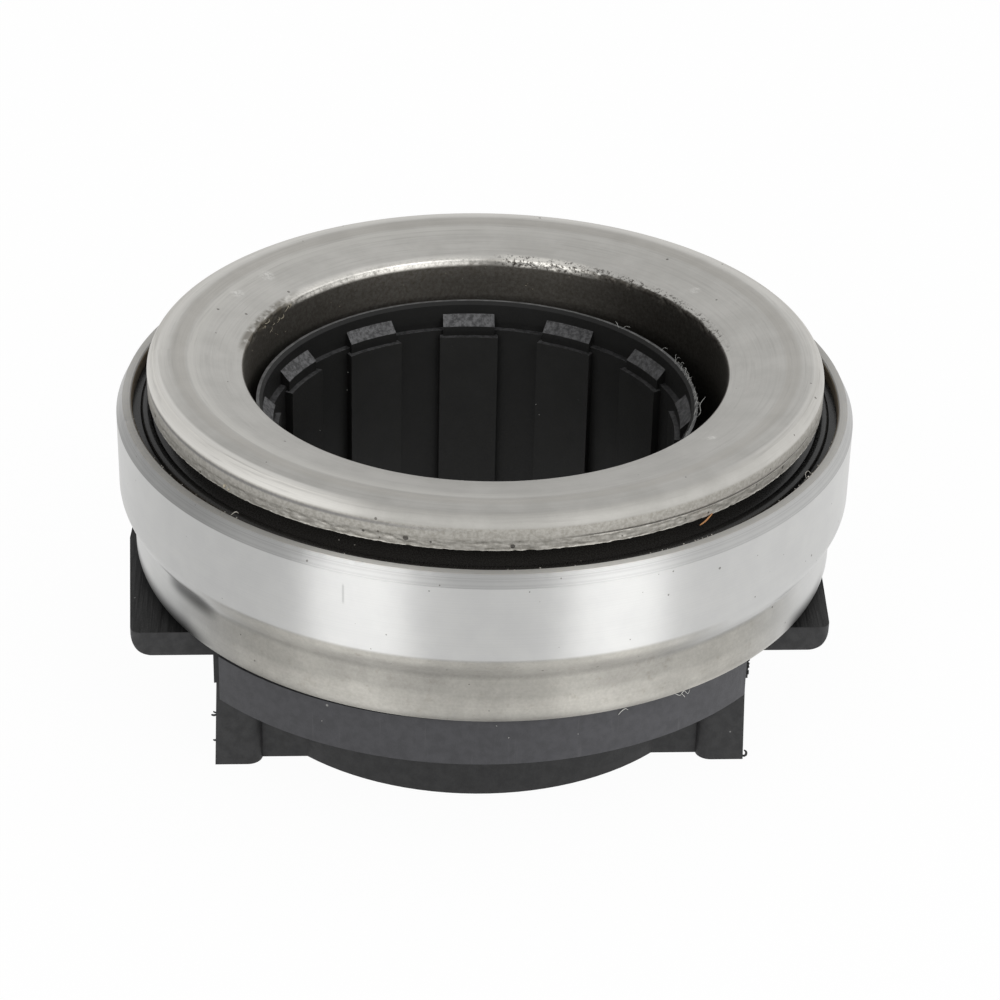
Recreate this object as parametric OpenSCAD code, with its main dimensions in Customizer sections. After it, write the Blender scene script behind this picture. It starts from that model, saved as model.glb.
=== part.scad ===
// Clutch release bearing: a thrust ball bearing that floats on a ribbed plastic sleeve.
// The sleeve slides along a guide tube, a fork pushes on its two ears, and the steel face
// on top presses on the clutch spring and turns with it.
// Z runs along the guide tube towards the thrust face. The origin lies on the sleeve's axis,
// level with the bottom of its boss. X runs from ear to ear.

/* [Sleeve tube] */
// Diameter across the tips of the guide ribs
guide_d = 35; // [28:0.5:44]
// Number of guide ribs
rib_count = 12; // [6:1:16]
// Width of a guide rib
rib_w = 5.4; // [3:0.1:7]
// Height of a guide rib above the floor of the grooves
rib_h = 0.75; // [0.4:0.05:1.5]
// Wall of the tube behind the grooves
tube_wall = 1.15; // [0.9:0.05:2.5]
// Height of the sleeve from its boss to its rim
sleeve_h = 27; // [24:0.5:34]
// Depth of the plain mouth above the grooves
mouth_depth = 2.55; // [2:0.05:5]
// Wall of the tube around the mouth
rim_wall = 0.55; // [0.4:0.05:0.8]
// Chamfer inside the rim
rim_chamfer = 0.28; // [0.1:0.02:0.35]
// Width of the head on each rib
head_w = 4.8; // [2.5:0.1:6]
// Height of a head's upright face
head_h = 0.9; // [0.4:0.05:1.5]
// Step from a rib's face back to its head
head_step = 0.45; // [0.2:0.05:0.6]
// Drop from the groove ends down to the rib ends
rib_drop = 0.45; // [0.2:0.05:1]

/* [Sleeve flange] */
// Wall of the boss outside the tube
boss_wall = 2.7; // [1.5:0.1:5]
// Height of the boss below the flange
boss_h = 8.5; // [6:0.5:14]
// Thickness of the flange
flange_t = 4.3; // [2.5:0.1:7]
// Step from the steel cup's wall in to the flange's rim
flange_inset = 1.05; // [0.3:0.05:3]
// Distance from the boss out to the flats at the ends of the flange's rim
flat_margin = 0.3; // [0.1:0.05:2]
// Step from a flat out to the cheek behind it
cheek_step = 0.57; // [0.2:0.01:1]

/* [Lugs and ears] */
// Width of a lug at its top
lug_w = 3.8; // [2.5:0.1:6]
// Depth of a lug from front to back
lug_depth = 5; // [3:0.1:8]
// Distance from the axis to the front of the lugs and cheeks
lug_reach = 17.3; // [15:0.1:18.5]
// Step from a cheek in to the lugs below it
lug_inset = 0.2; // [0.1:0.05:1]
// How far a lug's foot stands out beyond its top
lug_lean = 0.3; // [0.1:0.05:1]
// Radius of a lug's upright edge on the web's side
lug_round = 1.3; // [0.5:0.1:2]
// Thickness of the webs from the lugs to the boss
web_t = 2.4; // [1.5:0.1:4]
// Step from a lug's front back to the web
web_step = 1.15; // [0.3:0.05:2]
// Length of an ear beyond the cheek
ear_reach = 8; // [5:0.1:12]
// Width of an ear from front to back
ear_w = 32; // [20:0.5:33]
// Thickness of an ear
ear_t = 2.3; // [2:0.1:4]
// How far an ear's outer edge falls back from its middle to its corners
ear_taper = 0.95; // [0.2:0.05:2]
// Radius of an ear's lower outer edge
ear_round = 1.8; // [0.5:0.1:1.9]
// Radius of an ear's upright corners
ear_corner = 0.9; // [0.3:0.1:2]

/* [Balls and cage] */
// Diameter of a ball
ball_d = 6.35; // [5:0.05:8]
// Number of balls
ball_count = 16; // [10:1:18]
// Gap between a ball and its races
ball_play = 0.12; // [0.06:0.01:0.25]
// Depth of the race in each ring
race_depth = 0.65; // [0.3:0.05:1]
// Gap between a ball and its pocket in the cage
pocket_play = 0.2; // [0.1:0.02:0.4]
// Thickness of the cage below a pocket
cage_web = 0.9; // [0.6:0.05:2]
// Radial thickness of the cage
cage_t = 2.8; // [2:0.1:3.2]
// Height of the cage's fingers above the ball centres
finger_h = 1.2; // [0.6:0.1:2]

/* [Outer ring] */
// Wall outside the race
outer_wall = 2.3; // [1.5:0.1:4]
// Height from the ball centres to the top of the ring
race_to_top = 5.45; // [5:0.05:8]
// Height of the chamfer at the top of the ground band
top_chamfer_h = 1.1; // [0.4:0.05:2]
// Width of that chamfer
top_chamfer_w = 0.55; // [0.2:0.05:0.9]
// Wall of the ring around the seal
lip_wall = 1.38; // [1.2:0.02:2]
// Depth of the seal's seat
seat_depth = 2.2; // [1.6:0.1:3]
// Chamfer inside the lip
lip_edge = 0.2; // [0.1:0.05:0.4]
// Step from the ground band in to the cup
cup_step = 1.25; // [0.5:0.05:1.6]
// Radius of the neck between band and cup
neck_r = 2.2; // [1.7:0.1:4]
// Height of the cup's plain wall and corner
cup_h = 5.2; // [3:0.1:6]
// Radius of the cup's lower corner
cup_corner = 1.2; // [0.5:0.1:2]
// Thickness of the cup's floor
floor_t = 1.8; // [1:0.1:2.5]
// Shoulder height of the race below the balls
shoulder_h = 1.55; // [1:0.05:2]

/* [Thrust ring] */
// Wall of the tube under the flange
thrust_wall = 2.9; // [2:0.1:4]
// Radial gap between the flange and the outer ring's lip
rim_gap = 1.37; // [0.6:0.05:3]
// Height of the gap between the outer ring and the flange
lip_gap = 0.8; // [0.5:0.05:2]
// Height of the upright edge of the flange
rim_edge_h = 1.58; // [0.8:0.05:3]
// Radius at the top of the flange's rim
rim_round = 1.4; // [0.6:0.1:2.5]
// Drop of the thrust face from the rim to the bore
face_dish = 1.27; // [0:0.05:2]
// Radius at the bore's edge
bore_round = 0.35; // [0.2:0.05:0.8]
// Radius in the corner under the flange
under_round = 1.5; // [0.8:0.1:2]

/* [Seals and retainer] */
// Thickness of the seal's lip
lip_t = 0.6; // [0.4:0.05:1]
// Reach of the lip in from the outer ring's bore
lip_reach = 2; // [1:0.1:2.4]
// Height of the seal's collar in its seat
collar_h = 1.1; // [0.8:0.05:1.5]
// Step from the outer ring's bore out to the root of the lip
lip_root = 0.45; // [0.2:0.05:0.8]
// Thickness of the lower shield
shield_t = 0.7; // [0.4:0.05:1.2]
// Thickness of the disc spring
spring_t = 0.6; // [0.3:0.05:1]
// Rise of the disc spring from its outer to its inner edge
spring_rise = 0.4; // [0.2:0.05:1]
// Radial width of the disc spring
spring_w = 4.3; // [3:0.1:5]
// Thickness of the retaining ring
clip_t = 0.8; // [0.5:0.05:1.2]
// Radial width of the retaining ring outside the tube
clip_w = 3; // [2.4:0.1:3.4]
// Depth of the retaining ring's groove in the tube
clip_groove = 0.45; // [0.3:0.05:0.7]
// Opening in the retaining ring
clip_slot = 9; // [5:0.5:16]

/* [Float] */
// Travel of the bearing each way from the sleeve's axis
float_travel = 1; // [0.4:0.1:1.5]
// Where the bearing rests, measured from the sleeve's axis
rest_shift = 0.7; // [-1:0.1:1]
// Room left beyond the travel in both directions at once
float_spare = 0.28; // [0.15:0.01:0.6]

/* [Clearances] */
// Gap between faces that rest on each other
seat_gap = 0.1; // [0.05:0.01:0.3]
// Gap between parts that turn past each other
run_gap = 0.3; // [0.2:0.05:0.6]
// Gap of a pressed-in part at its seat
press_gap = 0.03; // [0.01:0.01:0.08]

/* [Hidden] */
$fn = 96;
// Overlap of joined shapes, and overshoot of cutting ones
eps = 0.01;
cut = 1;

// Radii of the sleeve
guide_r = guide_d / 2;
groove_r = guide_r + rib_h;
tube_r = groove_r + tube_wall;
mouth_r = tube_r - rim_wall;
boss_r = tube_r + boss_wall;
flat_x = boss_r + flat_margin;
cheek_x = flat_x + cheek_step;
ear_x = cheek_x + ear_reach;

// Radii of the bearing, from the sleeve's tube outwards
bore_r = tube_r + float_travel * sqrt(2) + float_spare;
thrust_tube_r = bore_r + thrust_wall;
ball_r = ball_d / 2;
race_r = ball_r + ball_play;
pocket_r = ball_r + pocket_play;
pitch_r = thrust_tube_r - race_depth + race_r;
outer_bore_r = pitch_r + race_r - race_depth;
shoulder_r = outer_bore_r + race_depth - shoulder_h;
ring_r = pitch_r + race_r + outer_wall;
cup_r = ring_r - cup_step;
lip_r = ring_r - lip_wall;
rim_r = lip_r - rim_gap;
flange_r = cup_r - flange_inset;
floor_hole_r = bore_r;

// Heights, from the boss bottom upwards
flange_top = boss_h + flange_t;
cup_z = flange_top + seat_gap;
spring_z = cup_z + floor_t + seat_gap;
clip_z = spring_z + spring_rise + spring_t + seat_gap;
thrust_end_z = clip_z + clip_t + run_gap;
shield_z = thrust_end_z + run_gap / 2;
cage_z = shield_z + shield_t + run_gap;
ball_z = cage_z + cage_web + pocket_r;
ring_top = ball_z + race_to_top;
seat_z = ring_top - seat_depth;
neck_z = cup_z + cup_h;
rim_z = ring_top + lip_gap;
face_z = rim_z + rim_edge_h + rim_round;
groove_end = sleeve_h - mouth_depth;
rib_end = groove_end - rib_drop;

// Slope of the thrust face, and the height of the flange's underside, which runs parallel to it
crown_r = rim_r - rim_round;
face_slope = face_dish / (crown_r - bore_r);
function under_z(r) = rim_z - (rim_r - r) * face_slope;

function ball_name(i) = str("ball_", i < 10 ? "0" : "", i);

// Places a bearing part on the bearing's own axis
module on_bearing() {
    translate([rest_shift, 0, 0]) children();
}

// Repeats a shape on the left of the sleeve, or at its back
module and_left() {
    children();
    mirror([1, 0, 0]) children();
}

module and_back() {
    children();
    mirror([0, 1, 0]) children();
}

// Outline of the bore: a circle through the rib tips with a groove between each two ribs
module bore_outline() {
    circle(r = guide_r);
    difference() {
        circle(r = groove_r);
        for (i = [0 : rib_count - 1])
            rotate(i * 360 / rib_count + 90)
                translate([0, -rib_w / 2])
                    square([groove_r + cut, rib_w]);
    }
}

// Everything that is hollow inside the sleeve
module sleeve_bore() {
    translate([0, 0, -cut])
        linear_extrude(rib_end + cut) bore_outline();
    translate([0, 0, rib_end - eps])
        cylinder(r = groove_r, h = rib_drop + 2 * eps);
    translate([0, 0, groove_end])
        cylinder(r = mouth_r, h = mouth_depth + cut);
    translate([0, 0, sleeve_h - rim_chamfer])
        cylinder(r1 = mouth_r, r2 = mouth_r + 2 * rim_chamfer, h = 2 * rim_chamfer);
}

// Head on top of one rib: an upright step with a slope up to the mouth's wall
module rib_head() {
    inner = guide_r + head_step;
    outer = mouth_r + rim_wall / 2;
    intersection() {
        rotate_extrude()
            polygon([
                [inner, rib_end - eps],
                [outer, rib_end - eps],
                [outer, rib_end + head_h + outer - inner],
                [inner, rib_end + head_h]
            ]);
        translate([0, -head_w / 2, rib_end - cut])
            cube([outer + cut, head_w, sleeve_h]);
    }
}

// Flange: round at the front and back, with flats at the rim's ends and a cheek behind each flat
module flange_plate() {
    translate([0, 0, boss_h])
        linear_extrude(flange_t)
            intersection() {
                circle(r = flange_r);
                union() {
                    square([2 * flat_x, 2 * flange_r], center = true);
                    square([2 * cheek_x, 2 * lug_reach], center = true);
                }
            }
}

// Front right lug, which leans out towards its foot, with the web that ties it to the boss
module lug_and_web() {
    top_x = cheek_x - lug_inset;
    foot_w = lug_w + lug_lean;
    web_y = lug_reach - web_step;
    top_z = boss_h + eps;
    intersection() {
        linear_extrude(top_z)
            translate([top_x - lug_w, -lug_reach]) {
                translate([lug_round, 0]) square([foot_w - lug_round, lug_depth]);
                translate([0, lug_round]) square([foot_w, lug_depth - lug_round]);
                translate([lug_round, lug_round]) circle(r = lug_round);
            }
        rotate([90, 0, 0])
            linear_extrude(lug_reach + cut)
                polygon([[0, 0], [top_x + lug_lean, 0], [top_x, top_z], [0, top_z]]);
    }
    translate([0, -web_y, 0])
        cube([top_x - lug_w / 2, web_t, top_z]);
}

// Outline of the right ear from above: the outer edge falls back from its middle to the round corners
module ear_outline(taper) {
    inner_x = boss_r - boss_wall / 2;
    half = ear_w / 2;
    corner_y = half - ear_corner;
    corner_x = ear_x - corner_y * tan(taper) - ear_corner / cos(taper);
    meet_x = corner_x + ear_corner * cos(taper);
    meet_y = corner_y + ear_corner * sin(taper);
    polygon([
        [inner_x, -half],
        [corner_x, -half],
        [meet_x, -meet_y],
        [ear_x, 0],
        [meet_x, meet_y],
        [corner_x, half],
        [inner_x, half]
    ]);
    for (side = [-1, 1])
        translate([corner_x, side * corner_y]) circle(r = ear_corner);
}

// Long bar with a round lower outer edge, laid along one half of the right ear's outer edge
module ear_bar(turn) {
    translate([ear_x, 0, flange_top - ear_t])
        rotate(turn)
            rotate([90, 0, 0])
                linear_extrude(2 * ear_w, center = true) {
                    polygon([
                        [-ear_x, 0],
                        [-ear_round, 0],
                        [0, ear_round],
                        [0, ear_t + cut],
                        [-ear_x, ear_t + cut]
                    ]);
                    translate([-ear_round, ear_round]) circle(r = ear_round);
                }
}

// Right ear that the fork pushes on: a plate level with the flange
module ear() {
    taper = atan(2 * ear_taper / ear_w);
    intersection() {
        ear_bar(taper);
        ear_bar(-taper);
        translate([0, 0, flange_top - ear_t - cut])
            linear_extrude(ear_t + cut) ear_outline(taper);
    }
}

module sleeve() {
    color([0.13, 0.13, 0.13]) {
        difference() {
            union() {
                cylinder(r = tube_r, h = sleeve_h);
                cylinder(r = boss_r, h = boss_h + eps);
                flange_plate();
                and_left() {
                    ear();
                    and_back() lug_and_web();
                }
            }
            sleeve_bore();
            translate([0, 0, clip_z - press_gap])
                difference() {
                    cylinder(r = tube_r + cut, h = clip_t + 2 * press_gap);
                    translate([0, 0, -cut])
                        cylinder(r = tube_r - clip_groove, h = clip_t + 2 * press_gap + 2 * cut);
                }
        }
        for (i = [0 : rib_count - 1])
            rotate(i * 360 / rib_count + 90) rib_head();
    }
}

// Split ring in the tube's groove, which holds the spring down
module retaining_ring() {
    color([0.3, 0.31, 0.33])
        translate([0, 0, clip_z])
            difference() {
                cylinder(r = tube_r + clip_w, h = clip_t);
                translate([0, 0, -cut])
                    cylinder(r = tube_r - clip_groove + press_gap, h = clip_t + 2 * cut);
                translate([-clip_slot / 2, 0, -cut])
                    cube([clip_slot, tube_r + clip_w + cut, clip_t + 2 * cut]);
            }
}

// Conical disc spring that presses the cup's floor on the flange
module disc_spring() {
    inner = tube_r + float_travel + float_spare;
    outer = inner + spring_w;
    color([0.42, 0.43, 0.45])
        on_bearing()
            translate([0, 0, spring_z])
                rotate_extrude()
                    polygon([
                        [outer, 0],
                        [outer, spring_t],
                        [inner, spring_t + spring_rise],
                        [inner, spring_rise]
                    ]);
}

// Drawn outer ring: ground band, neck and cup, with the race for the balls inside
module outer_ring_outline() {
    floor_top = cup_z + floor_t;
    difference() {
        union() {
            polygon([
                [floor_hole_r, cup_z],
                [cup_r - cup_corner, cup_z],
                [cup_r, cup_z + cup_corner],
                [cup_r, neck_z],
                [ring_r, neck_z],
                [ring_r, ring_top - top_chamfer_h],
                [ring_r - top_chamfer_w, ring_top],
                [lip_r + lip_edge, ring_top],
                [lip_r, ring_top - lip_edge],
                [lip_r, seat_z],
                [outer_bore_r, seat_z],
                [outer_bore_r, ball_z],
                [shoulder_r, ball_z],
                [shoulder_r, floor_top + cup_corner],
                [shoulder_r - cup_corner, floor_top],
                [floor_hole_r, floor_top]
            ]);
            translate([cup_r - cup_corner, cup_z + cup_corner]) circle(r = cup_corner);
        }
        translate([pitch_r, ball_z]) circle(r = race_r);
        translate([cup_r + neck_r, neck_z]) circle(r = neck_r);
    }
}

module outer_ring() {
    color([0.72, 0.72, 0.71])
        on_bearing() rotate_extrude() outer_ring_outline();
}

// Rubber seal pressed into the outer ring, with a lip that leans up under the thrust flange
module upper_seal() {
    outer = lip_r - press_gap;
    foot_z = seat_z + press_gap;
    collar_top = foot_z + collar_h;
    tip_r = outer_bore_r - lip_reach;
    tip_top = under_z(tip_r) - run_gap;
    color([0.06, 0.06, 0.06])
        on_bearing()
            rotate_extrude()
                polygon([
                    [outer_bore_r + press_gap, foot_z],
                    [outer, foot_z],
                    [outer, collar_top],
                    [outer_bore_r + lip_root, collar_top],
                    [tip_r, tip_top],
                    [tip_r, tip_top - lip_t],
                    [outer_bore_r + press_gap, collar_top - lip_t]
                ]);
}

// Steel shield pressed into the cup below the balls
module lower_shield() {
    color([0.45, 0.45, 0.46])
        on_bearing()
            translate([0, 0, shield_z])
                difference() {
                    cylinder(r = shoulder_r - press_gap, h = shield_t);
                    translate([0, 0, -cut])
                        cylinder(r = thrust_tube_r + run_gap, h = shield_t + 2 * cut);
                }
}

// Rotating inner ring: race tube with the thrust flange on top
module thrust_ring_outline() {
    corner_z = under_z(thrust_tube_r + under_round);
    difference() {
        union() {
            polygon([
                [bore_r, thrust_end_z],
                [thrust_tube_r, thrust_end_z],
                [thrust_tube_r, corner_z - under_round],
                [thrust_tube_r + under_round, corner_z],
                [rim_r, rim_z],
                [rim_r, face_z - rim_round],
                [crown_r, face_z],
                [bore_r + bore_round, face_z - face_dish + bore_round * face_slope],
                [bore_r, face_z - face_dish - bore_round]
            ]);
            translate([crown_r, face_z - rim_round]) circle(r = rim_round);
            translate([bore_r + bore_round, face_z - face_dish - bore_round])
                circle(r = bore_round);
        }
        translate([pitch_r, ball_z]) circle(r = race_r);
    }
}

module thrust_ring() {
    color([0.66, 0.65, 0.63])
        on_bearing() rotate_extrude() thrust_ring_outline();
}

// Place of ball number i on the pitch circle
module at_ball(i) {
    rotate((i - 1) * 360 / ball_count)
        translate([pitch_r, 0, ball_z])
            children();
}

// Moulded cage: a ring below the balls with fingers between them
module ball_cage() {
    cage_h = ball_z + finger_h - cage_z;
    color([0.75, 0.7, 0.58])
        on_bearing()
            difference() {
                translate([0, 0, cage_z])
                    difference() {
                        cylinder(r = pitch_r + cage_t / 2, h = cage_h);
                        translate([0, 0, -cut])
                            cylinder(r = pitch_r - cage_t / 2, h = cage_h + 2 * cut);
                    }
                for (i = [1 : ball_count])
                    at_ball(i) sphere(r = pocket_r);
            }
}

module ball(i) {
    color([0.8, 0.81, 0.83])
        on_bearing() at_ball(i) sphere(r = ball_r);
}

sleeve();
retaining_ring();
disc_spring();
outer_ring();
upper_seal();
lower_shield();
thrust_ring();
ball_cage();
for (i = [1 : ball_count])
    ball(i);
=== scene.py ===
"""Looks of a clutch release bearing: finishes, wear, fibres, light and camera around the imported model."""

import math
import random

import bpy
from mathutils import Matrix, Vector, noise


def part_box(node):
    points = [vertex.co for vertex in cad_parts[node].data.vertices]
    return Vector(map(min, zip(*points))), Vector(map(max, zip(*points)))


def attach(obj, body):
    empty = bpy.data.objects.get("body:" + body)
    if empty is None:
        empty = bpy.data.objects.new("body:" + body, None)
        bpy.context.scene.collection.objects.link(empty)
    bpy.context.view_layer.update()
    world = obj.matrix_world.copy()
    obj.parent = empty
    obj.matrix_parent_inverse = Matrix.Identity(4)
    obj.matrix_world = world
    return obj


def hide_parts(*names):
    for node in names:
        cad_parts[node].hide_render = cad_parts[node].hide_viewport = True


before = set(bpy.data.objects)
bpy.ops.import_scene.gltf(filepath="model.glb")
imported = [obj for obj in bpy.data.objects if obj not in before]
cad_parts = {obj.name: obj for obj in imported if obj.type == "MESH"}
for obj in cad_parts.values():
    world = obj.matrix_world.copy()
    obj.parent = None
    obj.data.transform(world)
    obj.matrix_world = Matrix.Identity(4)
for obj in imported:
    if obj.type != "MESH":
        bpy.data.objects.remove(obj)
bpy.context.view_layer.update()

MM = 0.001

# Places taken from the frame, in millimetres: the bearing's axis, its two rings, its balls and the sleeve
ring_lo, ring_hi = (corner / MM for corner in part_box("outer_ring"))
thrust_lo, thrust_hi = (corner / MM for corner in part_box("thrust_ring"))
ball_lo, ball_hi = (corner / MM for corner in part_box("ball_01"))
sleeve_lo, sleeve_hi = (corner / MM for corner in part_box("sleeve"))
AXIS_X = (ring_lo.x + ring_hi.x) / 2
RING_R = (ring_hi.x - ring_lo.x) / 2
RING_TOP = ring_hi.z
CUP_LOW = ring_lo.z
RIM_R = (thrust_hi.x - thrust_lo.x) / 2
FACE_TOP = thrust_hi.z
TUBE_END = thrust_lo.z
BALL_R = (ball_hi.z - ball_lo.z) / 2
BALL_Z = (ball_hi.z + ball_lo.z) / 2
PITCH_R = ball_hi.x - BALL_R - AXIS_X
SLEEVE_TOP = sleeve_hi.z

# Raceways, in millimetres
BALL_PLAY = 0.12
RACE_DEPTH = 0.65
RACE_R = BALL_R + BALL_PLAY

# Sizes of the thrust ring, in millimetres
BORE_R = 21.094
TUBE_WALL = 2.9
RIM_ROUND = 1.4
RIM_EDGE = 1.58
FACE_DISH = 1.27
BORE_ROUND = 0.35
UNDER_ROUND = 1.5
TUBE_R = BORE_R + TUBE_WALL
FACE_SLOPE = FACE_DISH / (RIM_R - RIM_ROUND - BORE_R)
RIM_LOW = FACE_TOP - RIM_ROUND - RIM_EDGE
BORE_EDGE = (BORE_R, FACE_TOP - FACE_DISH - BORE_ROUND)
FACE_EDGE = (BORE_R + BORE_ROUND, FACE_TOP - FACE_DISH + BORE_ROUND * FACE_SLOPE)

# Crown of the thrust ring as worn, in millimetres and degrees: the face bends over between two radii, then
# falls round to the side, which is torn along its lower part
CROWN_START = 26.6
CROWN_END = 27.7
CROWN_TOP = FACE_TOP + 0.1
CROWN_LEAN = 6.0
CROWN_ROUND = 1.2
WORN_RISE = 13.4
SIDE_TOP = 30.62
SHEAR_TOP = 29.6

# Zones of the thrust face, as radii in millimetres between which each one grows or fades. The crown's two
# zones carry painted light
PALE_RISE = (24.2, 25.7)
PALE_FALL = (26.1, 25.8)
DARK_RING = (26.15, 27.4)
CROWN_RISE = (27.2, 28.2)
CROWN_EDGE = (28.3, 28.6)

# Stretches of the thrust ring that are worn in one way, as middle and half width in degrees from +X
GRIME = (157, 15)
BRUSHED = (115, 27)
CHIPS = (72, 11)
CHIPPED_EDGE = (45, 38)
PITS = (35, 27)
SHEAR_LINE = (312, 28)

# Pale marks on the thrust face: x, y and size in millimetres
PALE_MARKS = ((20.4, 13.0, 0.35), (18.8, -15.1, 0.3), (-18.7, 15.7, 0.7), (-21.3, 12.0, 0.6),
              (-19.9, 18.7, 0.6))

# Stretches of the outer ring that look different, as middle, half width and soft end in degrees from +X. The
# two beside the ears are mirrored at the X axis
# Dull stretches: rougher and less metallic, and darker as painted shade
DULL_SHADED_FRONT = (270, 49, 24)
DULL_SHADED_BACK = (92, 55, 70)
DULL_SHADED_NECK = (263, 36, 20)
# Painted shade on the chamfer at the left
SHADED_CHAMFER = (206, 18, 16)
# Painted reflections of the ears: dark lenses in the neck
LEFT_LENS = (215, 5, 6)
RIGHT_LENS = (324, 4, 8)
# Painted shade and reflection of the ears on the cup's foot, and the stretch of the foot left without
# painted shade
LEFT_EAR = (161, 19, 8)
RIGHT_EAR = (27.5, 6, 8)
UNSHADED_FOOT = (312, 12, 14)
# Where painted shade dims the lamps' reflection on the cup
LEFT_SHINE = (253, 9, 8)
RIGHT_SHINE = (291, 7, 8)
SCRATCH = (-113, 0.16, 0.1)
SCRATCH_Z = (24.1, 25.8)

# Outer ring, in millimetres: its section inside, its chamfered lip, and the neck between band and cup
CUP_STEP = 1.25
CUP_CORNER = 1.2
FLOOR_T = 1.8
SHOULDER_H = 1.55
SEAT_DEPTH = 2.2
LIP_WALL = 1.38
LIP_EDGE = 0.2
CHAMFER_H = 1.1
CHAMFER_W = 0.55
CUP_R = RING_R - CUP_STEP
FLOOR_TOP = CUP_LOW + FLOOR_T
FLOOR_HOLE_R = BORE_R
RING_BORE_R = PITCH_R + RACE_R - RACE_DEPTH
SHOULDER_R = RING_BORE_R + RACE_DEPTH - SHOULDER_H
SEAT_Z = RING_TOP - SEAT_DEPTH
LIP_R = RING_R - LIP_WALL
BAND_LOW = 20.2
NECK_LOW = 18.2
CUP_TOP = 17.5
NECK_OUT = 0.27
NECK_LEAN = -128

# Bead on the seal, in millimetres
BEAD_R = 29.6
BEAD_Z = 26.82
BEAD_WIDE = 0.55
BEAD_TALL = 0.42
BEAD_SUNK = 0.15

# Sleeve, in millimetres: its ribs and tube, its flange, the cheeks beside the ears, the lugs' front, and how
# far from the middle its outside starts and ends getting paler as painted light
RIB_R = 17.5
SLEEVE_R = 19.4
RIB_END = 24.0
FLANGE_LOW = 8.5
FLANGE_TOP = 12.8
FLANGE_R = 29.93
CHEEK_X = 22.97
LUG_Y = -17.28
PALER_SIDES = (13.0, 15.0)

# Camera, in millimetres and degrees: place on a circle round the bearing, and how it is turned
CAMERA_REACH = 232.3
CAMERA_HEIGHT = 149.3
CAMERA_TURN = -3.1
CAMERA_YAW = 0.375
CAMERA_PITCH = 29.755
CAMERA_ROLL = 1.397
SENSOR = 36.0
LENS = 107.36

# Soft boxes: name, turn in degrees from +X, width in metres and power in watts
LAMPS = (("left_box", 231.7, 0.33, 1.4), ("right_box", 307.2, 0.32, 1.33))

# What both soft boxes share, in metres
LAMP_REACH = 0.6
LAMP_HEIGHT = 0.27
LAMP_TALL = 0.55

# Floor: half its side in metres, and the share of white that the camera and reflections see
FLOOR_HALF = 3.0
FLOOR_WHITE = 0.96


class Nodes:
    """A node tree, with short ways to add nodes to it."""

    def __init__(self, tree):
        self.tree = tree

    def feed(self, socket, value):
        if isinstance(value, bpy.types.NodeSocket):
            self.tree.links.new(value, socket)
        else:
            socket.default_value = value

    def add(self, kind, inputs=(), **settings):
        node = self.tree.nodes.new("ShaderNode" + kind)
        for key, value in settings.items():
            setattr(node, key, value)
        for key, value in dict(inputs).items():
            self.feed(node.inputs[key], value)
        return node

    def math(self, operation, a, b=0.0, c=0.0):
        return self.add("Math", {0: a, 1: b, 2: c}, operation=operation).outputs[0]

    def plus(self, a, b):
        return self.math("ADD", a, b)

    def most(self, a, b):
        return self.math("MAXIMUM", a, b)

    def rest(self, value):
        """What is left of 1."""
        return self.math("SUBTRACT", 1.0, value)

    def times(self, *values):
        product = values[0]
        for value in values[1:]:
            product = self.math("MULTIPLY", product, value)
        return product

    def join(self, x=0.0, y=0.0, z=0.0):
        return self.add("CombineXYZ", {0: x, 1: y, 2: z}).outputs[0]

    def split(self, vector):
        return self.add("SeparateXYZ", {0: vector}).outputs

    def shade(self, colour, factor):
        """The colour times a number."""
        return self.add("VectorMath", {0: colour, "Scale": factor}, operation="SCALE").outputs[0]

    def dim(self, colour, share):
        """The colour with a share of it taken away."""
        return self.shade(colour, self.rest(share))

    def lift(self, colour, share):
        """The colour with a share of it added."""
        return self.shade(colour, self.plus(1.0, share))

    def mix(self, share, a, b):
        node = self.add("Mix", data_type="RGBA")
        for socket, value in zip((node.inputs[0], node.inputs[6], node.inputs[7]), (share, a, b)):
            self.feed(socket, value)
        return node.outputs[2]


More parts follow.
